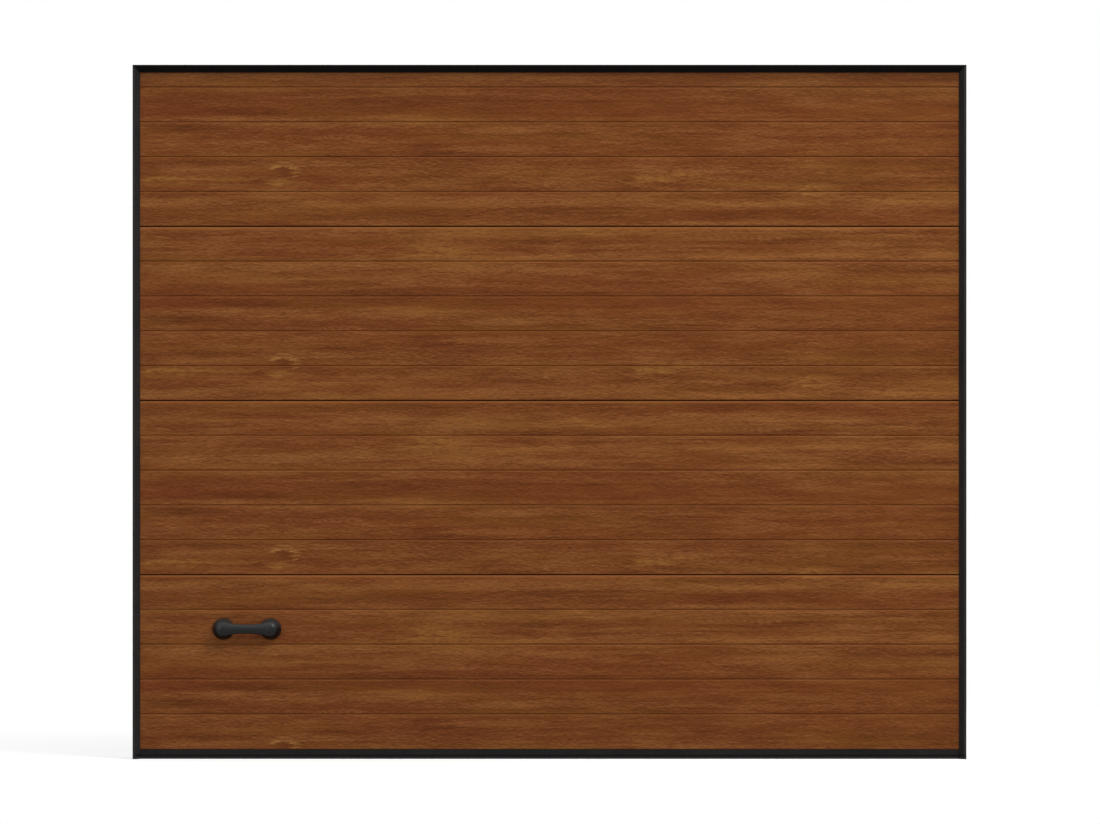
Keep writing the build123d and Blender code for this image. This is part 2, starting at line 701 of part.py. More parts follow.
def build():
    """Write every node."""
    os.makedirs("parts", exist_ok=True)
    save_pair("post", make_post())
    save("header", make_header())
    save_pair("side_seal", make_side_seal())
    save("top_seal", make_top_seal())
    edges = [LEAF_BOTTOM] + JOINTS + [LEAF_TOP]
    for i in range(4):
        save("section_%d" % (i + 1), make_section(edges[i], edges[i + 1], i == 0, i == 3))
    save_both("end_caps", make_end_caps())
    save("bottom_rail", make_bottom_rail())
    save("bottom_seal", make_bottom_seal())
    save("top_rail", make_top_rail())
    save("handle", make_handle())
    save("handle_bolts", make_handle_bolts())
    for i, z in enumerate(JOINTS):
        save("hinges_joint_%d" % (i + 1), make_mid_hinges(z))
    save_pair("roller_brackets", make_roller_brackets())
    save_both("rollers", make_rollers())
    save_both("roller_shafts", make_roller_shafts())
    save_pair("vertical_track", make_vertical_track())
    save_pair("track_bend", make_track_bend())
    save_pair("horizontal_track", make_horizontal_track())
    save_both("track_plates", make_track_plates())
    save_both("cable_pulleys", make_cable_pulley())
    save_pair("lift_cable", make_lift_cable())
    save_both("bearing_plates", make_bearing_plate())
    save_both("rear_hangers", make_rear_hanger())
    save("rear_cross_bar", make_cross_bar())
    save("centre_bearing", make_centre_bearing())
    save("torsion_shaft", make_torsion_shaft())
    save_pair("torsion_spring", make_spring())
    save_both("spring_cones", make_spring_cones())
    save_both("cable_drums", make_cable_drum())


build()
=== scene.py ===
import json
import math

import bpy
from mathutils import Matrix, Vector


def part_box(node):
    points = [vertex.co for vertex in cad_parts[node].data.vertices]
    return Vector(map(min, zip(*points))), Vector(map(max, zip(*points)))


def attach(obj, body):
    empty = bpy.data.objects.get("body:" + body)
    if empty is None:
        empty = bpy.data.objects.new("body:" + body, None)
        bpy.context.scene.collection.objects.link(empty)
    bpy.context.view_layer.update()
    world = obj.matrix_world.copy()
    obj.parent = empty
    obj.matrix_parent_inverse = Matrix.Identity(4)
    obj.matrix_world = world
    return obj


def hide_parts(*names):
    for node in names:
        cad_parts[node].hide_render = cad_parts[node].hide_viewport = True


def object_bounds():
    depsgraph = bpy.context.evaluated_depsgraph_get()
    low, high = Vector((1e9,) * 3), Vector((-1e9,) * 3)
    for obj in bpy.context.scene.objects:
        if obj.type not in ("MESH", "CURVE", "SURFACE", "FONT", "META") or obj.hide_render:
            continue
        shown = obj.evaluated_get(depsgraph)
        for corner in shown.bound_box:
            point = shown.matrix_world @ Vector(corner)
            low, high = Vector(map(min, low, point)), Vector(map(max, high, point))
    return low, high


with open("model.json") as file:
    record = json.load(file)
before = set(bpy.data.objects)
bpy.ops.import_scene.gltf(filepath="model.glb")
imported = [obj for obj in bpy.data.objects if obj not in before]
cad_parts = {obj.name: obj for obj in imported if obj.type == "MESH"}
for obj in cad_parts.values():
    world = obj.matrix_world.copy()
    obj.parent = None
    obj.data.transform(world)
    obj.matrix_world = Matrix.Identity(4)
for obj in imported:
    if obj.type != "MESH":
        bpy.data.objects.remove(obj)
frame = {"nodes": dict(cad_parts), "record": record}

bl_info = {
    "name": "Sectional Garage Door",
    "version": (1, 0, 0),
    "blender": (4, 5, 0),
    "location": "View3D > Sidebar > Garage Door",
    "description": "Dresses a closed sectional garage door with its finishes, springs and screws",
    "category": "Object",
}

# Places read from the part
CAD_BOX = [list(map(float, corner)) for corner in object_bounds()]
NODES = frame["nodes"]
CENTRE_X = (CAD_BOX[0][0] + CAD_BOX[1][0]) / 2
FRONT_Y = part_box("section_1")[0][1]
BACK_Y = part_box("section_4")[1][1]
FRAME_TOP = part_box("header")[1][2]
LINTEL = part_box("header")[0][2]

# Joints between sections, counted from the floor, and the finishes by name
JOINTS = (1, 2, 3)
MADE = {}

# Layers of the film's print: level, half height, share of the tone
LIGHT_LAYERS = ((1.597, 0.014, 0.13), (1.392, 0.034, 0.18), (1.470, 0.018, 0.15), (1.520, 0.007, 0.10))
DARK_LAYERS = ((1.560, 0.009, 0.03), (1.308, 0.018, 0.16), (1.237, 0.006, 0.08), (1.705, 0.012, 0.10))
RED_LAYER = (1.320, 0.028)

# Spots of the film's print: place, level, half width, half height
LIGHT_SPOTS = (
    (1.49, 1.666, 0.07, 0.010),
    (1.60, 1.676, 0.05, 0.007),
    (1.95, 1.632, 0.05, 0.020),
    (0.88, 1.465, 0.10, 0.022),
    (1.28, 1.525, 0.05, 0.006),
    (0.13, 1.666, 0.18, 0.008),
    (0.42, 1.655, 0.045, 0.011),
)
DARK_SPOT = (1.282, 1.500, 0.05, 0.006)
KNOT = (0.432, 1.688, 0.036, 0.017)

# Rows of arrowheads of the film's print: place, level, half width, half height, step
LIGHT_CHEVRONS = (0.57, 1.784, 0.19, 0.006, 0.021)
DARK_CHEVRONS = ((1.81, 1.494, 0.13, 0.011, 0.024), (2.20, 1.494, 0.14, 0.010, 0.026))

# Height from the light edge of a fleck of the print to its dark edge
FLECK_STEP = 0.004

# Painted light and shade on the film at its folds, at the joints and under the lintel: distance, softness
FOLD_DEPTH = (0.0012, 0.0006)
NEAR_SHADE = (0.022, 0.040)
FAR_SHADE = (0.090, 0.070)
LIT_EDGE_START = (0.0015, 0.0005)
LIT_EDGE_END = (0.0075, 0.0035)
JOINT_SHADE_LEVEL = 0.0002
JOINT_SHADE_HALF = (0.0024, 0.0008)
SKIN_DEPTH = (0.016, 0.001)

# Other finishes
DUST_HEIGHT = 0.35
# Bottom seal: level and half height of a painted shade line, and the height of painted light on its foot
SEAL_GROOVE_LEVEL = 0.0105
SEAL_GROOVE_HALF = (0.0032, 0.0012)
SEAL_LIT_HEIGHT = 0.012
ROPE_LAY = 0.0045

# Handle mesh
HANDLE_SEAM = 0.00002
HANDLE_VOXEL = 0.0012

# Spring mesh
WIRE_SIDES = 8
COIL_STEPS = 18

# Screws of hinges and roller brackets
FLANGE_DEPTH = 0.0012
HEAD_DEPTH = 0.0042
HEAD_MIDDLE = 0.0031
HEAD_BEVEL = 0.0005
PLATE = 0.0025
HINGE_HALF_WIDTH = 0.0313
HINGE_ROWS = (-0.054, -0.026, 0.026, 0.054)
HINGE_COLUMNS = (-0.018, 0.018)
BRACKET_WIDTH = 0.042
BRACKET_ROWS = (-0.056, -0.026, 0.034, 0.056)
BRACKET_COLUMNS = (-0.010, 0.010)
BOTTOM_BRACKET_LEVELS = (0.132, 0.048)
BRACKET_MARGIN = 0.008

# Bolts of the tracks and corner plates
TRACK_SHEET = 0.002
TRACK_BOLT_LEVELS = (0.12, 0.56, 1.0, 1.44)
CORNER_BOLT_LEVELS = (1.905, 1.955)
CORNER_BOLT_FORWARD = 0.010
RUN_BOLT_PLACES = (0.42, 0.45, 2.36, 2.40)
BOLT_BASE = -0.0001
BOLT_FLATNESS = 0.4

# Cable drums and set screws
DRUM_FLANGE = 0.009
DRUM_CABLE_INSET = 0.024
RIDGE_STEPS = (-0.014, -0.0095, -0.005, 0.005, 0.0095, 0.014)
CONE_STEP = 0.004
CONE_SCREW_INSET = 0.012
HUB_SCREW_INSET = 0.032
HUB_RADIUS = 0.022
SET_SCREW_LENGTH = 0.010
SET_SCREW_BEVEL = 0.0006
SET_SCREW_TURNS = (0.5, 2.6)

# Stage
FLOOR_SIZE = 60
FLOOR_LEVEL = -0.0005
FLOOR_MIDDLE_Y = 0.8
FLOOR_FADE = (2.7, 1.0)
SKY_LIGHT = 0.34
SENSOR_WIDTH = 36
VIEW_WIDTH = 3.1525
CAMERA_ASIDE = 0.0014
CAMERA_DISTANCE = 10.5
CAMERA_HEIGHT = 0.55
CAMERA_REACH = 200

# Lamps: name, place and target from the door's middle, width, power
LAMPS = (
    ("key", (4.3, -4.9, 7.0), (0, 0, 0.9), 3.2, 470),
    ("fill", (-3.6, -4.4, 0.9), (0, 0, 0.7), 3.5, 52),
    ("back", (1.0, 6.0, 4.2), (0, 1.2, 1.2), 3.5, 105),
)


def only(*objects):
    """Leave object mode's selection on these objects, the first one active."""
    if bpy.context.object and bpy.context.object.mode != "OBJECT":
        bpy.ops.object.mode_set(mode="OBJECT")
    bpy.ops.object.select_all(action="DESELECT")
    for obj in objects:
        obj.select_set(True)
    bpy.context.view_layer.objects.active = objects[0] if objects else None


def new_name(name):
    """Name the object that was just added."""
    obj = bpy.context.active_object
    obj.name = name
    obj.data.name = name
    return obj


def apply_place(obj):
    """Put an object's place into its mesh."""
    only(obj)
    bpy.ops.object.transform_apply(location=True, rotation=True, scale=True)


def apply_modifier(obj, kind, **settings):
    """Add a modifier and apply it."""
    only(obj)
    modifier = obj.modifiers.new(kind.title(), kind)
    for key, value in settings.items():
        setattr(modifier, key, value)
    bpy.ops.object.modifier_apply(modifier=modifier.name)


def copied(source, name):
    """Copy an object with its own mesh."""
    only(source)
    bpy.ops.object.duplicate()
    return new_name(name)


def copy_to(source, name, offset):
    """Copy an object and move the copy."""
    copy = copied(source, name)
    copy.location = [a + b for a, b in zip(source.location, offset)]
    apply_place(copy)
    return copy


def mirrored(source, name):
    """Copy an object to the door's other side."""
    copy = copied(source, name)
    bpy.ops.transform.mirror(
        constraint_axis=(True, False, False), center_override=(CENTRE_X, 0, 0))
    apply_place(copy)
    recalculate(copy)
    return copy


def recalculate(obj):
    """Turn every face outwards."""
    only(obj)
    bpy.ops.object.mode_set(mode="EDIT")
    bpy.ops.mesh.select_all(action="SELECT")
    bpy.ops.mesh.normals_make_consistent(inside=False)
    bpy.ops.object.mode_set(mode="OBJECT")


def joined(name, objects):
    """Join objects into one piece."""
    only(*objects)
    bpy.ops.object.join()
    return new_name(name)


def smooth(obj, degrees):
    """Shade smooth below an angle."""
    only(obj)
    bpy.ops.object.shade_smooth_by_angle(angle=math.radians(degrees))


def finish(obj, slot, *nodes):
    """Give a new piece its finish and its body, and hide the nodes it stands for."""
    obj.data.materials.clear()
    obj.data.materials.append(MADE[SLOT_FINISH[slot]])
    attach(obj, "root")
    if nodes:
        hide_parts(*nodes)


class Val:
    """A node socket that Python arithmetic works on."""

    def __init__(self, tree, socket):
        self.tree = tree
        self.socket = socket

    def op(self, operation, *others):
        """Math node that takes this value first."""
        values = dict(enumerate((self, *others)))
        return self.tree.node("ShaderNodeMath", {"operation": operation}, values)

    def __add__(self, other):
        return self.op("ADD", other)

    def __sub__(self, other):
        return self.op("SUBTRACT", other)

    def __mul__(self, other):
        return self.op("MULTIPLY", other)

    def __truediv__(self, other):
        return self.op("DIVIDE", other)

    def __pow__(self, other):
        return self.op("POWER", other)

    def __neg__(self):
        return self.op("MULTIPLY", -1.0)

    def __rsub__(self, other):
        return self.tree.node("ShaderNodeMath", {"operation": "SUBTRACT"}, {0: other, 1: self})

    def sin(self):
        return self.op("SINE")

    def cos(self):
        return self.op("COSINE")

    def size(self):
        return self.op("ABSOLUTE")

    def bell(self):
        """1 where this value is 0, and less where it is more."""
        return (-self).op("EXPONENT")

    def above(self, edge, width):
        """Smooth step up from 0 to 1 round an edge."""
        return self.tree.node(
            "ShaderNodeMapRange", {"interpolation_type": "SMOOTHSTEP"},
            {"Value": self, "From Min": edge - width, "From Max": edge + width})

    def span(self, low, high, to_low=0.0, to_high=1.0):
        """Straight map of one range to another."""
        return self.tree.node(
            "ShaderNodeMapRange", {},
            {"Value": self, "From Min": low, "From Max": high, "To Min": to_low, "To Max": to_high})


class Finish:
    """One procedural material."""

    def __init__(self, name):
        self.material = MADE[name] = bpy.data.materials.new("door_" + name)
        self.material.use_nodes = True
        self.nodes = self.material.node_tree.nodes
        self.links = self.material.node_tree.links
        self.nodes.clear()
        self.output = self.nodes.new("ShaderNodeOutputMaterial")
        self.place = self.node("ShaderNodeTexCoord", {}, {}, "Object")
        self.x, self.y, self.z = self.parts(self.place)

    def node(self, kind, settings, sockets, out=0):
        """Add a node: its settings first, then its sockets."""
        node = self.nodes.new(kind)
        for key, value in settings.items():
            setattr(node, key, value)
        for key, value in sockets.items():
            if isinstance(value, Val):
                self.links.new(value.socket, node.inputs[key])
            else:
                node.inputs[key].default_value = value
        return Val(self, node.outputs[out])

    def parts(self, vector):
        """X, Y and Z of a vector."""
        split = self.nodes.new("ShaderNodeSeparateXYZ")
        self.links.new(vector.socket, split.inputs[0])
        return [Val(self, output) for output in split.outputs]

    def facing(self):
        """Parts of the surface's own outward direction."""
        return self.parts(self.node("ShaderNodeNewGeometry", {}, {}, "Normal"))

    def vector(self, x, y, z):
        return self.node("ShaderNodeCombineXYZ", {}, {0: x, 1: y, 2: z})

    def noise(self, vector, scale=1.0, detail=2.0, roughness=0.5):
        sockets = {"Vector": vector, "Scale": scale, "Detail": detail, "Roughness": roughness}
        return self.node("ShaderNodeTexNoise", {}, sockets)

    def cells(self, vector, scale):
        """A random colour in each cell."""
        return self.node("ShaderNodeTexVoronoi", {}, {"Vector": vector, "Scale": scale}, "Color")

    def ramp(self, value, stops):
        """Colours between stops, each a pair of place and colour."""
        node = self.nodes.new("ShaderNodeValToRGB")
        elements = node.color_ramp.elements
        while len(elements) < len(stops):
            elements.new(0.5)
        for element, (place, colour) in zip(elements, stops):
            element.position = place
            element.color = (*colour, 1.0)
        self.links.new(value.socket, node.inputs[0])
        return Val(self, node.outputs[0])

    def mix(self, amount, a, b):
        """Colour a with this amount of colour b over it."""
        a = a if isinstance(a, Val) else (*a, 1.0)
        b = b if isinstance(b, Val) else (*b, 1.0)
        return self.node("ShaderNodeMix", {"data_type": "RGBA"}, {0: amount, 6: a, 7: b}, 2)

    def bump(self, height, distance, strength, normal=None):
        sockets = {"Height": height, "Distance": distance, "Strength": strength}
        if normal:
            sockets["Normal"] = normal
        return self.node("ShaderNodeBump", {}, sockets)

    def surface(self, **sockets):
        """Principled surface; names are the sockets' own with _ for a space."""
        values = {key.replace("_", " "): value for key, value in sockets.items()}
        shader = self.node("ShaderNodeBsdfPrincipled", {}, values)
        self.links.new(shader.socket, self.output.inputs[0])


def hexed(code):
    """Linear colour from a display colour written as six hex digits."""
    out = []
    for i in (0, 2, 4):
        c = int(code[i:i + 2], 16) / 255
        out.append(c / 12.92 if c <= 0.04045 else ((c + 0.055) / 1.055) ** 2.4)
    return tuple(out)


def oak_film(look):
    """Oak-effect film outside, embossed off-white coil coating inside."""
    f = Finish("oak_film")
    period = look.film_repeat
    radius = period / (2 * math.pi)
    turn = f.z * (2 * math.pi / period)
    turn_below = turn - FLECK_STEP / radius
    ring = (turn.cos(), turn.sin())
    ring_below = (turn_below.cos(), turn_below.sin())

    def grain(kx, kz, seed, detail=3.0, roughness=0.55, ring=ring):
        """Noise stretched along the door that repeats with the film."""
        vector = f.vector(f.x * kx + seed, ring[0] * (radius * kz), ring[1] * (radius * kz))
        return f.noise(vector, 1.0, detail, roughness)

    layers = grain(0.35, 26.0, 3.1, 3.0, 0.6)
    bands = grain(3.0, 60.0, 17.3, 4.0, 0.62)
    streak = grain(9.0, 170.0, 29.7, 3.0, 0.6)
    ticks = grain(62.0, 300.0, 41.9, 2.0, 0.65)
    warp = grain(3.0, 14.0, 57.3, 3.0, 0.5)
    clouds = grain(5.5, 30.0, 71.1, 3.0, 0.6)
    yellow = grain(1.6, 26.0, 83.9, 3.0, 0.6)
    red = grain(1.2, 16.0, 97.7, 2.0, 0.5)
    tear = grain(26.0, 110.0, 131.0, 3.0, 0.65)
    flecks = grain(60.0, 280.0, 149.0, 1.0, 0.6) - grain(60.0, 280.0, 149.0, 1.0, 0.6, ring_below)
    fray = (streak - 0.5) * 3.0 + (tear - 0.5) * 2.6
    grained = (tear * 0.5 + ticks * 0.3 + streak * 0.2).above(0.49, 0.07)

    def wrapped(height):
        """Height from the nearest repeat of the print."""
        return height.op("WRAP", period / 2, -period / 2)

    def offset(place, level, wide, tall):
        """Distance from a spot of the print, counted in its own width and height."""
        across = (f.x - place) / wide + (clouds - 0.5) * 1.2 + (tear - 0.5) * 1.6
        up = wrapped(f.z - level) / tall + fray
        return across, up

    def spot(place, level, wide, tall):
        """1 in the middle of a spot of the print, 0 outside it, with a torn edge."""
        across, up = offset(place, level, wide, tall)
        return (across ** 2 + up ** 2).bell()

    def layer(level, tall):
        """A layer of the print that runs the whole width."""
        up = wrapped(f.z - level + (warp - 0.5) * 0.02) / tall
        return (up ** 2).bell()

    def chevrons(place, level, wide, tall, step):
        """Row of nested arrowheads where the print shows cut-through year rings."""
        across, up = offset(place, level, wide, tall)
        bent = f.x + up.size() * 0.012 + clouds * 0.05 + tear * 0.02
        rings = (bent * (2 * math.pi / step)).sin().above(0.3, 0.6)
        return rings * grained * (across ** 2 + up ** 2).bell()

    # Tone of the print
    tone = layers * 0.40 + bands * 0.42 + streak * 0.18 + tear * 0.14
    tone = tone + flecks * 0.26 + ticks * 0.26 + clouds * 0.34
    tone = tone.span(0.87 - 0.19, 0.87 + 0.19)
    for level, tall, share in LIGHT_LAYERS:
        tone = tone + layer(level, tall) * share
    for level, tall, share in DARK_LAYERS:
        tone = tone - layer(level, tall) * share
    tone = tone - spot(*DARK_SPOT) * 0.3
    wood = f.ramp(tone, [
        (0.0, look.film_dark[:]), (0.30, hexed("6a3a1a")), (0.5, look.film_mid[:]),
        (0.72, hexed("82502a")), (1.0, look.film_light[:])])
    wood = f.mix(yellow.above(0.55, 0.12) * 0.30, wood, hexed("84561f"))
    reddish = red.above(0.52, 0.12) * 0.20 + layer(*RED_LAYER) * 0.25
    wood = f.mix(reddish, wood, hexed("76371a"))

    # Light spots, knot, arrowheads and pores
    light = spot(*LIGHT_SPOTS[0])
    for place in LIGHT_SPOTS[1:]:
        light = light + spot(*place)
    light = light.op("MINIMUM", 1.0) * (grained * 0.75 + 0.15)
    wood = f.mix(light, wood, hexed("96652f"))
    across, up = offset(*KNOT)
    arch = (across ** 2 + up ** 2) ** 0.5
    knot = arch.above(0.7, 0.25) * (1 - arch.above(1.25, 0.3)) * (up + across * 0.5).above(0.0, 0.6)
    wood = f.mix(knot * (grained * 0.7 + 0.2), wood, hexed("a5743c"))
    wood = f.mix((1 - arch.above(0.6, 0.3)) * 0.5, wood, hexed("5c2f13"))
    wood = f.mix(chevrons(*LIGHT_CHEVRONS) * 0.42, wood, hexed("9c6638"))
    rings = chevrons(*DARK_CHEVRONS[0]) + chevrons(*DARK_CHEVRONS[1])
    wood = f.mix(rings * 0.5, wood, hexed("56290f"))
    pores = grain(85.0, 430.0, 113.0, 2.0, 0.6).above(0.60, 0.06) * 0.40
    wood = film_with_painted_light(f, f.mix(pores, wood, hexed("4a230c")))

    # Inner skin and relief
    stucco = f.noise(f.vector(f.x, f.y, f.z * 0.8), 260.0, 2.0, 0.5)
    inside = f.y.above(FRONT_Y + SKIN_DEPTH[0], SKIN_DEPTH[1])
    skin = f.mix(f.noise(f.place, 3.0, 3.0) * 0.25, hexed("dedfdc"), hexed("cfd1cf"))
    skin = f.mix(stucco.span(0.4, 0.7) * 0.12, skin, hexed("b9bbb9"))
    colour = f.mix(inside, wood, skin)
    rough = streak.span(0.3, 0.7, 0.42, 0.58) * (1 - inside) + inside * 0.42
    relief = f.bump(ticks * 0.4 + streak * 0.5 - pores, 0.00035, 0.4)
    emboss = f.bump(stucco * inside, 0.0009, 0.6, relief)
    f.surface(Base_Color=colour, Roughness=rough, Specular_IOR_Level=0.07, Normal=emboss)


def film_with_painted_light(f, wood):
    """Film colour with painted highlights and painted shade at its folds, section edges and joints, and the
    lintel's painted shade.
    """
    up = f.facing()[2]
    roll_marks_and_lit_fold = up.above(0.45, 0.2)
    shaded_fold = (-up).above(0.40, 0.2)
    groove_light = f.y.above(FRONT_Y + FOLD_DEPTH[0], FOLD_DEPTH[1])
    # Painted highlight on the fold flanks that face up
    wood = f.mix(roll_marks_and_lit_fold * 0.46, wood, hexed("c07a44"))
    # Painted shade on the fold flanks that face down
    wood = f.mix(shaded_fold * 0.52, wood, hexed("3d1e0b"))
    # Painted light that makes the groove bottoms paler against their own shade
    wood = f.mix(groove_light * 0.12, wood, hexed("a0602c"))
    for (drop, soft), share in ((NEAR_SHADE, 0.5), (FAR_SHADE, 0.2)):
        wood = f.mix(f.z.above(LINTEL - drop, soft) * share, wood, hexed("4c2a13"))
    for i in JOINTS:
        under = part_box("section_%d" % (i + 1))[0][2] - f.z
        # Painted highlight along the top edge of the section under each joint
        edge = under.above(*LIT_EDGE_START) * (1 - under.above(*LIT_EDGE_END))
        wood = f.mix(edge * 0.42, wood, hexed("a8683a"))
        # Painted shade in the gap between the sections at each joint
        lip = 1 - (under - JOINT_SHADE_LEVEL).size().above(*JOINT_SHADE_HALF)
        wood = f.mix(lip * 0.75, wood, hexed("3a1c09"))
    return wood


def black_powder_coat(look, name="black_powder_coat", shade=0.0):
    """Fine-grained powder coat; the shade darkens it towards black."""
    f = Finish(name)
    peel = f.noise(f.place, 900.0, 2.0)
    cloud = f.noise(f.place, 5.0, 3.0)
    dust = f.z.span(0.0, DUST_HEIGHT, 1.0, 0.0) * f.noise(f.place, 14.0, 4.0).above(0.55, 0.2)
    colour = f.mix(cloud.span(0.3, 0.7), look.frame_dark[:], hexed("2f2c2a"))
    colour = f.mix(dust * 0.10, colour, hexed("57544f"))
    # The shade argument darkens the colour towards black and dulls the reflection: painted shade on the
    # lintel, a darker tone on the bottom rail
    colour = f.mix(shade, colour, hexed("070707"))
    rough = cloud.span(0.3, 0.7, 0.46, 0.58)
    level = 0.08 - 0.07 * shade
    bump = f.bump(peel, 0.0002, 0.25)
    f.surface(Base_Color=colour, Roughness=rough, Specular_IOR_Level=level, Normal=bump)


def rail_coat(look):
    """The strip along the bottom edge, a little darker than the posts."""
    black_powder_coat(look, "rail_coat", 0.4)


def shaded_header_coat(look):
    """The lintel piece, darkened towards black with painted shade for the shade it hangs in."""
    black_powder_coat(look, "shaded_header_coat", 0.9)


def black_rubber(look, name="black_rubber", shade=0.0):
    """Lip and floor seals, with painted light on the floor seal's foot and a painted shade line in the
    groove above it; the shade darkens them towards black.
    """
    f = Finish(name)
    cloud = f.noise(f.place, 9.0, 4.0)
    lines = f.noise(f.vector(f.x * 3, f.y * 600, f.z * 3), 1.0, 2.0)
    # Paler towards the floor: painted light on the floor seal's flared foot
    low = f.z.span(0.0, SEAL_LIT_HEIGHT, 1.0, 0.0)
    # Painted shade line in the groove between the seal and the rail
    groove = 1 - (f.z - SEAL_GROOVE_LEVEL).size().above(*SEAL_GROOVE_HALF)
    colour = f.mix(cloud.span(0.3, 0.7), hexed("1f1e1d"), hexed("2b2826"))
    colour = f.mix(low * 0.35, colour, hexed("3a383a"))
    colour = f.mix(groove * 0.95, colour, hexed("050506"))
    # The shade argument darkens the colour towards black and dulls the reflection: painted shade on the top
    # seal
    colour = f.mix(shade, colour, hexed("070707"))
    rough = cloud.span(0.3, 0.7, 0.55, 0.7)
    level = 0.1 - 0.08 * shade
    bump = f.bump(lines, 0.0002, 0.3)
    f.surface(Base_Color=colour, Roughness=rough, Specular_IOR_Level=level, Normal=bump)


def shaded_top_rubber(look):
    """The top lip seal, darkened towards black with painted shade for the lintel's shade."""
    black_rubber(look, "shaded_top_rubber", 0.8)


def handle_plastic(look):
    """Satin plastic with painted light and shade: paler where it faces up, darker where it faces down and
    towards its edges.
    """
    f = Finish("handle_plastic")
    grain = f.noise(f.place, 1800.0, 2.0)
    cloud = f.noise(f.place, 30.0, 3.0)
    facing = f.facing()
    outward, up = -facing[1], facing[2]
    colour = f.mix(cloud.span(0.3, 0.7), look.handle_dark[:], hexed("1b1d1d"))
    # Painted light where the surface faces up, painted shade where it faces down and where it turns away
    # from the front
    colour = f.mix(up.span(0.02, 0.6), colour, hexed("3b3c3b"))
    colour = f.mix((-up).span(-0.15, 0.5), colour, hexed("09090a"))
    colour = f.mix(outward.span(0.2, 0.75, 0.45, 0.0), colour, hexed("0a0a0b"))
    rough = cloud.span(0.3, 0.7, 0.27, 0.34)
    bump = f.bump(grain, 0.00012, 0.3)
    f.surface(Base_Color=colour, Roughness=rough, Specular_IOR_Level=0.2, Normal=bump)


def zinc_steel(look):
    """Galvanised sheet with a faint spangle."""
    f = Finish("zinc_steel")
    flakes = f.cells(f.place, 110.0)
    shine = f.node("ShaderNodeSeparateColor", {}, {0: flakes})
    stain = f.noise(f.place, 6.0, 4.0, 0.6)
    roll_marks_and_lit_fold = f.noise(f.vector(f.x * 40, f.y * 40, f.z * 700), 1.0, 2.0)
    colour = f.mix(shine.span(0.0, 1.0) * 0.6, hexed("9fa5a8"), hexed("7f8588"))
    colour = f.mix(stain.above(0.58, 0.12) * 0.4, colour, hexed("8e8d89"))
    rough = shine * 0.16 + roll_marks_and_lit_fold * 0.12 + 0.24
    bump = f.bump(roll_marks_and_lit_fold, 0.0001, 0.2)
    f.surface(Base_Color=colour, Metallic=0.85, Roughness=rough, Normal=bump)


def nylon(look):
    """Roller wheels with fine scuff lines round their treads."""
    f = Finish("nylon")
    cloud = f.noise(f.place, 60.0, 3.0)
    scuff = f.noise(f.vector(f.x * 1200, f.y * 90, f.z * 90), 1.0, 3.0)
    colour = f.mix(cloud.span(0.3, 0.7), hexed("dad8d0"), hexed("c9c6bc"))
    colour = f.mix(scuff.above(0.6, 0.08) * 0.3, colour, hexed("8b8983"))
    rough = scuff.span(0.3, 0.7, 0.34, 0.5)
    bump = f.bump(scuff, 0.0001, 0.3)
    f.surface(Base_Color=colour, Roughness=rough, Normal=bump)


def rail_aluminium(look):
    """Drawn profile with fine lines along its length."""
    f = Finish("rail_aluminium")
    drawn = f.noise(f.vector(f.x * 4, f.y * 1500, f.z * 1500), 1.0, 3.0)
    cloud = f.noise(f.place, 8.0, 3.0)
    colour = f.mix(drawn.span(0.3, 0.7), hexed("b9bcbe"), hexed("a2a6a9"))
    rough = drawn * 0.2 + cloud * 0.1 + 0.22
    bump = f.bump(drawn, 0.0001, 0.25)
    f.surface(Base_Color=colour, Metallic=0.9, Roughness=rough, Normal=bump)


def spring_steel(look):
    """Oiled, hardened wire."""
    f = Finish("spring_steel")
    cloud = f.noise(f.place, 18.0, 4.0, 0.6)
    scale = f.noise(f.vector(f.x * 300, f.y * 300, f.z * 300), 1.0, 3.0)
    colour = f.mix(cloud.span(0.3, 0.7), hexed("3b3a3a"), hexed("55514d"))
    colour = f.mix(scale.above(0.62, 0.08) * 0.3, colour, hexed("5a4536"))
    rough = cloud.span(0.3, 0.7, 0.28, 0.45)
    bump = f.bump(scale, 0.0002, 0.3)
    f.surface(Base_Color=colour, Metallic=0.8, Roughness=rough, Normal=bump)


def cable_strand(look):
    """Twisted wire rope, drawn across the cable's length."""
    f = Finish("cable_strand")
    lay = (f.z + f.y) * (2 * math.pi / ROPE_LAY) + f.x * 1500.0
    strand = lay.sin() * 0.5 + 0.5
    wear = f.noise(f.place, 25.0, 3.0)
    # Painted shade between the strands and painted highlight on their crests, following the lay
    colour = f.mix(strand, hexed("4d5052"), hexed("a6aaad"))
    colour = f.mix(wear.above(0.6, 0.1) * 0.4, colour, hexed("6b655c"))
    rough = wear.span(0.3, 0.7, 0.3, 0.5)
    bump = f.bump(strand, 0.0006, 0.8)
    f.surface(Base_Color=colour, Metallic=0.85, Roughness=rough, Normal=bump)


def cast_alloy(look):
    """Cast drums and cones, with a rough skin."""
    f = Finish("cast_alloy")
    cast = f.noise(f.place, 420.0, 3.0, 0.6)
    cloud = f.noise(f.place, 24.0, 3.0)
    colour = f.mix(cloud.span(0.3, 0.7), hexed("a3a5a6"), hexed("8b8d8f"))
    colour = f.mix(cast.above(0.6, 0.08) * 0.3, colour, hexed("77797b"))
    rough = cast.span(0.3, 0.7, 0.45, 0.62)
    bump = f.bump(cast, 0.0004, 0.4)
    f.surface(Base_Color=colour, Metallic=0.75, Roughness=rough, Normal=bump)


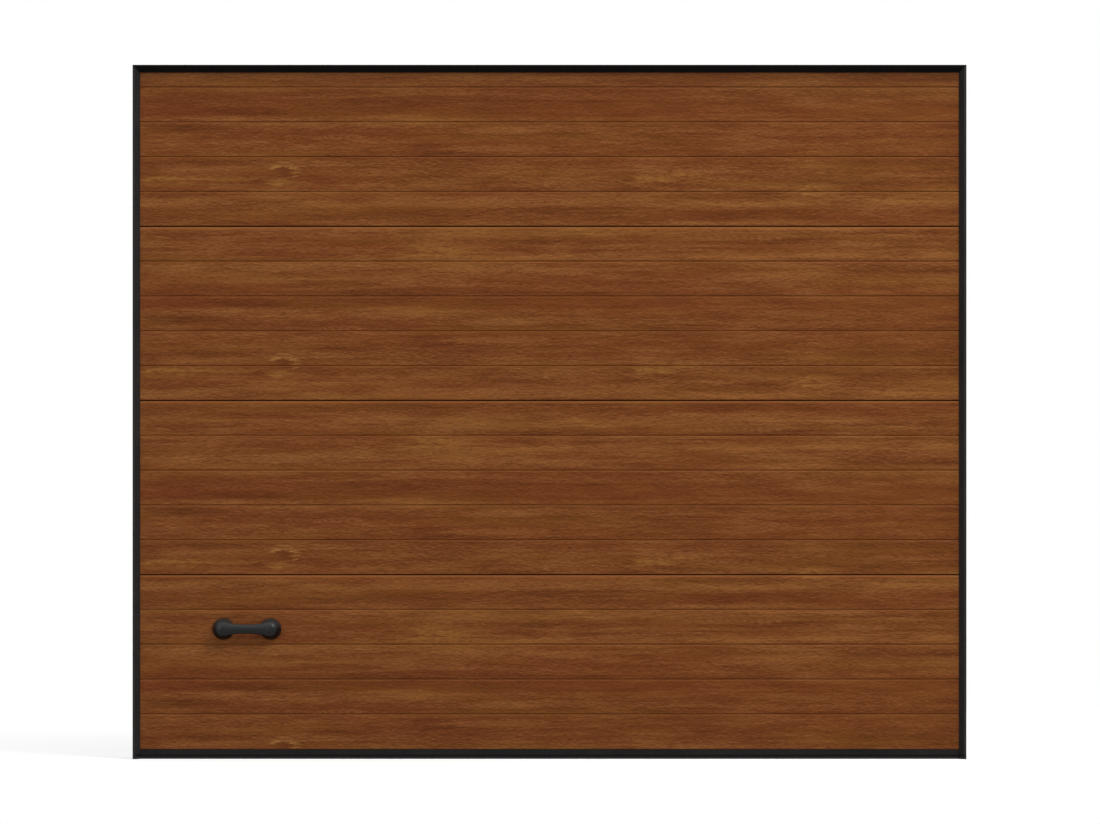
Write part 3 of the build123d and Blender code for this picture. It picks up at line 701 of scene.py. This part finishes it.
FINISHES = (
    oak_film, black_powder_coat, shaded_header_coat, rail_coat, black_rubber, shaded_top_rubber, handle_plastic,
    zinc_steel, nylon, rail_aluminium, spring_steel, cable_strand, cast_alloy)
OWN_FINISH = {"header": "shaded_header_coat", "bottom_rail": "rail_coat", "top_seal": "shaded_top_rubber"}
SLOT_FINISH = {
    "oak_film": "oak_film",
    "black_frame": "black_powder_coat",
    "black_rubber": "black_rubber",
    "handle_plastic": "handle_plastic",
    "zinc_steel": "zinc_steel",
    "nylon": "nylon",
    "rail_aluminium": "rail_aluminium",
    "spring_steel": "spring_steel",
    "cable_steel": "cable_strand",
    "cast_alloy": "cast_alloy",
}


def tint(name, description, code):
    """Colour setting."""
    return bpy.props.FloatVectorProperty(
        name=name, description=description, default=hexed(code), subtype="COLOR", size=3, min=0, max=1)


def length(name, description, default):
    """Length setting in metres."""
    return bpy.props.FloatProperty(
        name=name, description=description, default=default, unit="LENGTH")


class GARAGE_PG_looks(bpy.types.PropertyGroup):
    film_repeat: length("Film repeat", "Height after which the film's print repeats", 0.5501)
    film_dark: tint("Film dark", "Darkest grain colour", "54290f")
    film_mid: tint("Film middle", "Main film colour", "75421d")
    film_light: tint("Film light", "Lightest grain colour", "94602f")
    frame_dark: tint("Frame", "Powder coat colour", "272524")
    handle_dark: tint("Handle", "Handle colour", "141516")


class GARAGE_PG_sizes(bpy.types.PropertyGroup):
    grip: length("Handle grip", "Padding added round the handle's bar", 0.0011)
    ridge: length("Drum ridge", "Thickness of a ridge between a drum's grooves", 0.0018)
    set_screw: length("Set screw", "Width of a square set screw head across its corners", 0.011)
    wire: length("Spring wire", "Diameter of the spring wire", 0.0055)
    pitch: length("Spring pitch", "Advance of the spring per turn", 0.0058)
    head: length("Screw head", "Width of a hexagon head across its corners", 0.0104)
    washer: length("Screw flange", "Diameter of the flange under a screw head", 0.013)
    cup: length("Track bolt head", "Diameter of a track bolt's low head", 0.015)


class GARAGE_OT_finishes(bpy.types.Operator):
    """Make the finishes and put them on the frame's own pieces"""

    bl_idname = "garage.finishes"
    bl_label = "Finishes"

    def execute(self, context):
        for make in FINISHES:
            make(context.scene.garage_looks)
        slots = {s["node"]: s["material_slot"] for s in frame["record"]["subparts"]}
        for name, obj in NODES.items():
            material = MADE[OWN_FINISH.get(name, SLOT_FINISH[slots[name]])]
            obj.data.materials.clear()
            obj.data.materials.append(material)
        return {"FINISHED"}


class GARAGE_OT_handle(bpy.types.Operator):
    """Mould the pull handle with soft runs from its bar into its domed feet"""

    bl_idname = "garage.handle"
    bl_label = "Handle"

    def execute(self, context):
        sizes = context.scene.garage_sizes
        handle = copied(NODES["handle"], "pull_handle")
        bpy.ops.object.mode_set(mode="EDIT")
        bpy.ops.mesh.select_all(action="SELECT")
        bpy.ops.mesh.remove_doubles(threshold=HANDLE_SEAM)
        bpy.ops.object.mode_set(mode="OBJECT")
        apply_modifier(handle, "REMESH", mode="VOXEL", voxel_size=HANDLE_VOXEL)
        apply_modifier(handle, "SMOOTH", factor=0.5, iterations=8)
        low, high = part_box("handle")
        middle = (low[0] + high[0]) / 2
        reach = (high[0] - low[0]) / 2 - (high[2] - low[2]) / 2
        bar = handle.vertex_groups.new(name="bar")
        for vertex in handle.data.vertices:
            share = 1 - ((vertex.co.x - middle) / reach) ** 2
            bar.add([vertex.index], max(share, 0.0), "REPLACE")
        apply_modifier(handle, "DISPLACE", strength=sizes.grip, mid_level=0.0, vertex_group="bar")
        apply_modifier(handle, "SMOOTH", factor=0.5, iterations=4)
        handle.vertex_groups.clear()
        only(handle)
        bpy.ops.object.shade_smooth()
        finish(handle, "handle_plastic", "handle")
        return {"FINISHED"}


class GARAGE_OT_springs(bpy.types.Operator):
    """Wind both torsion springs from their wire"""

    bl_idname = "garage.springs"
    bl_label = "Torsion springs"

    def execute(self, context):
        sizes = context.scene.garage_sizes
        low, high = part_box("torsion_spring_right")
        middle = [(a + b) / 2 for a, b in zip(low, high)]
        coil_r = (high[2] - low[2]) / 2 - sizes.wire / 2
        run = high[0] - low[0] - sizes.wire
        turns = int(run / sizes.pitch)
        only()
        bpy.ops.mesh.primitive_circle_add(
            vertices=WIRE_SIDES, radius=sizes.wire / 2,
            location=(low[0] + sizes.wire / 2, middle[1], middle[2]), rotation=(math.pi / 2, 0, 0))
        spring = new_name("spring_right")
        bpy.ops.object.transform_apply(location=False, rotation=True, scale=False)
        bpy.ops.object.mode_set(mode="EDIT")
        bpy.ops.mesh.select_all(action="SELECT")
        bpy.ops.transform.translate(value=(0, 0, coil_r))
        bpy.ops.object.mode_set(mode="OBJECT")
        apply_modifier(
            spring, "SCREW", axis="X", angle=2 * math.pi, iterations=turns, steps=COIL_STEPS,
            render_steps=COIL_STEPS, screw_offset=run / turns)
        bpy.ops.object.mode_set(mode="EDIT")
        bpy.ops.mesh.select_all(action="DESELECT")
        bpy.ops.mesh.select_mode(type="EDGE")
        bpy.ops.mesh.select_non_manifold()
        bpy.ops.mesh.fill()
        bpy.ops.object.mode_set(mode="OBJECT")
        apply_place(spring)
        recalculate(spring)
        smooth(spring, 60)
        other = mirrored(spring, "spring_left")
        finish(spring, "spring_steel", "torsion_spring_right")
        finish(other, "spring_steel", "torsion_spring_left")
        return {"FINISHED"}


def flanged_screw(name, sizes):
    """Hexagon screw head with its flange, standing on the plane y = 0 towards +Y."""
    only()
    bpy.ops.mesh.primitive_cylinder_add(
        vertices=16, radius=sizes.washer / 2, depth=FLANGE_DEPTH,
        location=(0, FLANGE_DEPTH / 2, 0), rotation=(math.pi / 2, 0, 0))
    flange = new_name(name + "_flange")
    bpy.ops.mesh.primitive_cylinder_add(
        vertices=6, radius=sizes.head / 2, depth=HEAD_DEPTH,
        location=(0, HEAD_MIDDLE, 0), rotation=(math.pi / 2, 0, 0))
    head = new_name(name + "_head")
    apply_place(head)
    apply_modifier(head, "BEVEL", width=HEAD_BEVEL, segments=1)
    apply_place(flange)
    return joined(name, [head, flange])


def scatter(source, name, places):
    """One piece made of copies of a fastener at these places."""
    copies = [copy_to(source, "%s_%d" % (name, i), place) for i, place in enumerate(places)]
    piece = joined(name, copies)
    only(source)
    bpy.ops.object.delete()
    smooth(piece, 30)
    return piece


class GARAGE_OT_screws(bpy.types.Operator):
    """Put screws through the hinges and the roller brackets"""

    bl_idname = "garage.screws"
    bl_label = "Hinge and bracket screws"

    def execute(self, context):
        sizes = context.scene.garage_sizes
        face = BACK_Y + PLATE
        bracket_low, bracket_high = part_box("roller_brackets_right")
        bracket_x = bracket_low[0] + BRACKET_WIDTH / 2
        places = []
        levels = [*BOTTOM_BRACKET_LEVELS, bracket_high[2] - BRACKET_MARGIN, bracket_low[2] + BRACKET_MARGIN]
        for i in JOINTS:
            low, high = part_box("hinges_joint_%d" % i)
            level = (low[2] + high[2]) / 2
            levels += [level + z for z in BRACKET_ROWS]
            pitch = (high[0] - low[0]) / 2 - HINGE_HALF_WIDTH
            for x in (-pitch, 0, pitch):
                for z in HINGE_ROWS:
                    for side in HINGE_COLUMNS:
                        places.append((CENTRE_X + x + side, face, level + z))
        screw = flanged_screw("hinge_screw", sizes)
        piece = scatter(screw, "hinge_screws", places)
        finish(piece, "zinc_steel")
        spots = {(round(bracket_x + side, 5), round(z, 5)) for z in levels for side in BRACKET_COLUMNS}
        right = [(x, face, z) for x, z in sorted(spots)]
        left = [(2 * CENTRE_X - x, y, z) for x, y, z in right]
        screw = flanged_screw("bracket_screw", sizes)
        piece = scatter(screw, "bracket_screws", right + left)
        finish(piece, "zinc_steel")
        return {"FINISHED"}


class GARAGE_OT_track_bolts(bpy.types.Operator):
    """Put low-headed bolts in the tracks and on the corner plates"""

    bl_idname = "garage.track_bolts"
    bl_label = "Track bolts"

    def execute(self, context):
        sizes = context.scene.garage_sizes
        low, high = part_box("vertical_track_right")
        run_low, run_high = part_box("horizontal_track_right")
        outside = high[0]
        inside = outside - TRACK_SHEET
        middle = (low[1] + high[1]) / 2
        run_z = (run_low[2] + run_high[2]) / 2
        only()
        bpy.ops.mesh.primitive_uv_sphere_add(
            segments=12, ring_count=8, radius=sizes.cup / 2, location=(0, 0, 0))
        bolt = new_name("cup_bolt")
        bpy.ops.object.mode_set(mode="EDIT")
        bpy.ops.mesh.select_all(action="SELECT")
        bpy.ops.mesh.bisect(
            plane_co=(BOLT_BASE, 0, 0), plane_no=(1, 0, 0), clear_outer=True, use_fill=True)
        bpy.ops.mesh.select_all(action="SELECT")
        bpy.ops.transform.resize(value=(BOLT_FLATNESS, 1, 1), center_override=(0, 0, 0))
        bpy.ops.object.mode_set(mode="OBJECT")
        spots = [(inside, middle, z) for z in TRACK_BOLT_LEVELS]
        spots += [(outside, middle - CORNER_BOLT_FORWARD, z) for z in CORNER_BOLT_LEVELS]
        spots += [(inside, y, run_z) for y in RUN_BOLT_PLACES]
        piece = scatter(bolt, "track_bolts_right", spots)
        recalculate(piece)
        other = mirrored(piece, "track_bolts_left")
        finish(piece, "zinc_steel")
        finish(other, "zinc_steel")
        return {"FINISHED"}


class GARAGE_OT_drums(bpy.types.Operator):
    """Put grooves round the cable drums and set screws in drums and cones"""

    bl_idname = "garage.drums"
    bl_label = "Drum ridges and set screws"

    def execute(self, context):
        sizes = context.scene.garage_sizes
        low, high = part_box("cable_drums")
        y = (low[1] + high[1]) / 2
        z = (low[2] + high[2]) / 2
        drum_r = (high[2] - low[2]) / 2 - DRUM_FLANGE
        cable_x = high[0] - DRUM_CABLE_INSET
        ridges = []
        for step in RIDGE_STEPS:
            only()
            bpy.ops.mesh.primitive_torus_add(
                location=(cable_x + step, y, z), rotation=(0, math.pi / 2, 0), major_segments=40,
                minor_segments=6, major_radius=drum_r + sizes.ridge / 4, minor_radius=sizes.ridge / 2)
            ridge = new_name("drum_ridge")
            apply_place(ridge)
            ridges.append(ridge)
        right = joined("drum_ridges_right", ridges)
        smooth(right, 60)
        left = mirrored(right, "drum_ridges_left")
        for piece in (right, left):
            finish(piece, "cast_alloy")
        cone_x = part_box("spring_cones")[1][0] - CONE_SCREW_INSET
        spring_low, spring_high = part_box("torsion_spring_right")
        cone_r = (spring_high[2] - spring_low[2]) / 2 - CONE_STEP
        screws = []
        for x, radius in ((cone_x, cone_r), (cable_x - HUB_SCREW_INSET, HUB_RADIUS)):
            reach = radius + SET_SCREW_LENGTH / 2
            for turn in SET_SCREW_TURNS:
                only()
                bpy.ops.mesh.primitive_cylinder_add(
                    vertices=4, radius=sizes.set_screw / 2, depth=SET_SCREW_LENGTH,
                    location=(x, y - reach * math.sin(turn), z + reach * math.cos(turn)),
                    rotation=(turn, 0, 0))
                screw = new_name("set_screw")
                apply_place(screw)
                apply_modifier(screw, "BEVEL", width=SET_SCREW_BEVEL, segments=1)
                screws.append(screw)
        right = joined("set_screws_right", screws)
        left = mirrored(right, "set_screws_left")
        for piece in (right, left):
            finish(piece, "zinc_steel")
        return {"FINISHED"}


class GARAGE_OT_stage(bpy.types.Operator):
    """Set up the floor, the backdrop light, the lamps and the camera"""

    bl_idname = "garage.stage"
    bl_label = "Stage"

    def execute(self, context):
        only()
        bpy.ops.mesh.primitive_plane_add(size=FLOOR_SIZE, location=(CENTRE_X, 0, FLOOR_LEVEL))
        floor = new_name("floor")
        floor.data.materials.append(self.floor_paint())
        self.world(context)
        for settings in LAMPS:
            self.lamp(*settings)
        bpy.ops.object.camera_add(
            location=(CENTRE_X + CAMERA_ASIDE, -CAMERA_DISTANCE, CAMERA_HEIGHT),
            rotation=(math.pi / 2, 0, 0))
        camera = new_name("camera")
        camera.data.sensor_width = SENSOR_WIDTH
        camera.data.lens = SENSOR_WIDTH * CAMERA_DISTANCE / VIEW_WIDTH
        camera.data.shift_y = (FRAME_TOP / 2 - CAMERA_HEIGHT) / VIEW_WIDTH
        camera.data.clip_end = CAMERA_REACH
        context.scene.camera = camera
        context.scene.view_settings.view_transform = "Standard"
        return {"FINISHED"}

    def floor_paint(self):
        """Pale matt floor that runs out into the white backdrop."""
        f = Finish("pale_floor")
        seen = self.seen(f)
        grain = f.noise(f.place, 3.0, 3.0)
        colour = f.mix(grain.span(0.3, 0.7), hexed("e8e8e8"), hexed("ececec"))
        paint = f.node("ShaderNodeBsdfDiffuse", {}, {"Color": colour})
        glow = f.node("ShaderNodeEmission", {}, {"Color": (1, 1, 1, 1), "Strength": seen * 0.5})
        both = f.node("ShaderNodeAddShader", {}, {0: paint, 1: glow})
        white = f.node("ShaderNodeEmission", {}, {"Color": (1, 1, 1, 1), "Strength": 1.0})
        reach = ((f.x - CENTRE_X) ** 2 + (f.y - FLOOR_MIDDLE_Y) ** 2) ** 0.5
        amount = reach.above(*FLOOR_FADE) * seen
        far = f.node("ShaderNodeMixShader", {}, {0: amount, 1: both, 2: white})
        f.links.new(far.socket, f.output.inputs[0])
        return f.material

    def seen(self, f):
        """1 for rays that come straight from the camera or by a mirror or glass."""
        rays = f.nodes.new("ShaderNodeLightPath").outputs
        camera = Val(f, rays["Is Camera Ray"])
        glossy = Val(f, rays["Is Glossy Ray"])
        through = Val(f, rays["Is Transmission Ray"])
        return camera.op("MAXIMUM", glossy).op("MAXIMUM", through)

    def world(self, context):
        """White to the eye and in reflections, and a softer light on the door."""
        world = bpy.data.worlds.new("backdrop")
        context.scene.world = world
        world.use_nodes = True
        nodes = world.node_tree.nodes
        links = world.node_tree.links
        nodes.clear()
        rays = nodes.new("ShaderNodeLightPath")
        top = nodes.new("ShaderNodeMath")
        top.operation = "MAXIMUM"
        links.new(rays.outputs["Is Camera Ray"], top.inputs[0])
        links.new(rays.outputs["Is Glossy Ray"], top.inputs[1])
        level = nodes.new("ShaderNodeMapRange")
        links.new(top.outputs[0], level.inputs["Value"])
        level.inputs["To Min"].default_value = SKY_LIGHT
        level.inputs["To Max"].default_value = 1.0
        sky = nodes.new("ShaderNodeBackground")
        sky.inputs["Color"].default_value = (1, 1, 1, 1)
        links.new(level.outputs[0], sky.inputs["Strength"])
        out = nodes.new("ShaderNodeOutputWorld")
        links.new(sky.outputs[0], out.inputs[0])

    def lamp(self, name, place, target, size, power):
        """Square soft lamp turned to a point."""
        bpy.ops.object.light_add(type="AREA", location=(CENTRE_X + place[0], place[1], place[2]))
        lamp = new_name(name)
        lamp.data.size = size
        lamp.data.energy = power
        aim = [b - a for a, b in zip(place, target)]
        flat = math.hypot(aim[0], aim[1])
        heading = math.atan2(aim[1], aim[0]) - math.pi / 2
        lamp.rotation_euler = (math.atan2(flat, -aim[2]), 0, heading)


class GARAGE_PT_panel(bpy.types.Panel):
    bl_idname = "GARAGE_PT_panel"
    bl_label = "Sectional Garage Door"
    bl_space_type = "VIEW_3D"
    bl_region_type = "UI"
    bl_category = "Garage Door"

    def draw(self, context):
        layout = self.layout
        for group in (context.scene.garage_looks, context.scene.garage_sizes):
            for name in group.__annotations__:
                layout.prop(group, name)
        for operator in OPERATORS:
            layout.operator(operator.bl_idname)


OPERATORS = (
    GARAGE_OT_finishes, GARAGE_OT_handle, GARAGE_OT_springs, GARAGE_OT_screws,
    GARAGE_OT_track_bolts, GARAGE_OT_drums, GARAGE_OT_stage)
CLASSES = (GARAGE_PG_looks, GARAGE_PG_sizes, *OPERATORS, GARAGE_PT_panel)


def register():
    for cls in CLASSES:
        bpy.utils.register_class(cls)
    bpy.types.Scene.garage_looks = bpy.props.PointerProperty(type=GARAGE_PG_looks)
    bpy.types.Scene.garage_sizes = bpy.props.PointerProperty(type=GARAGE_PG_sizes)


def unregister():
    del bpy.types.Scene.garage_sizes
    del bpy.types.Scene.garage_looks
    for cls in reversed(CLASSES):
        bpy.utils.unregister_class(cls)


def main():
    register()
    bpy.ops.garage.finishes()
    bpy.ops.garage.handle()
    bpy.ops.garage.springs()
    bpy.ops.garage.screws()
    bpy.ops.garage.track_bolts()
    bpy.ops.garage.drums()
    bpy.ops.garage.stage()


if __name__ == "__main__":
    main()
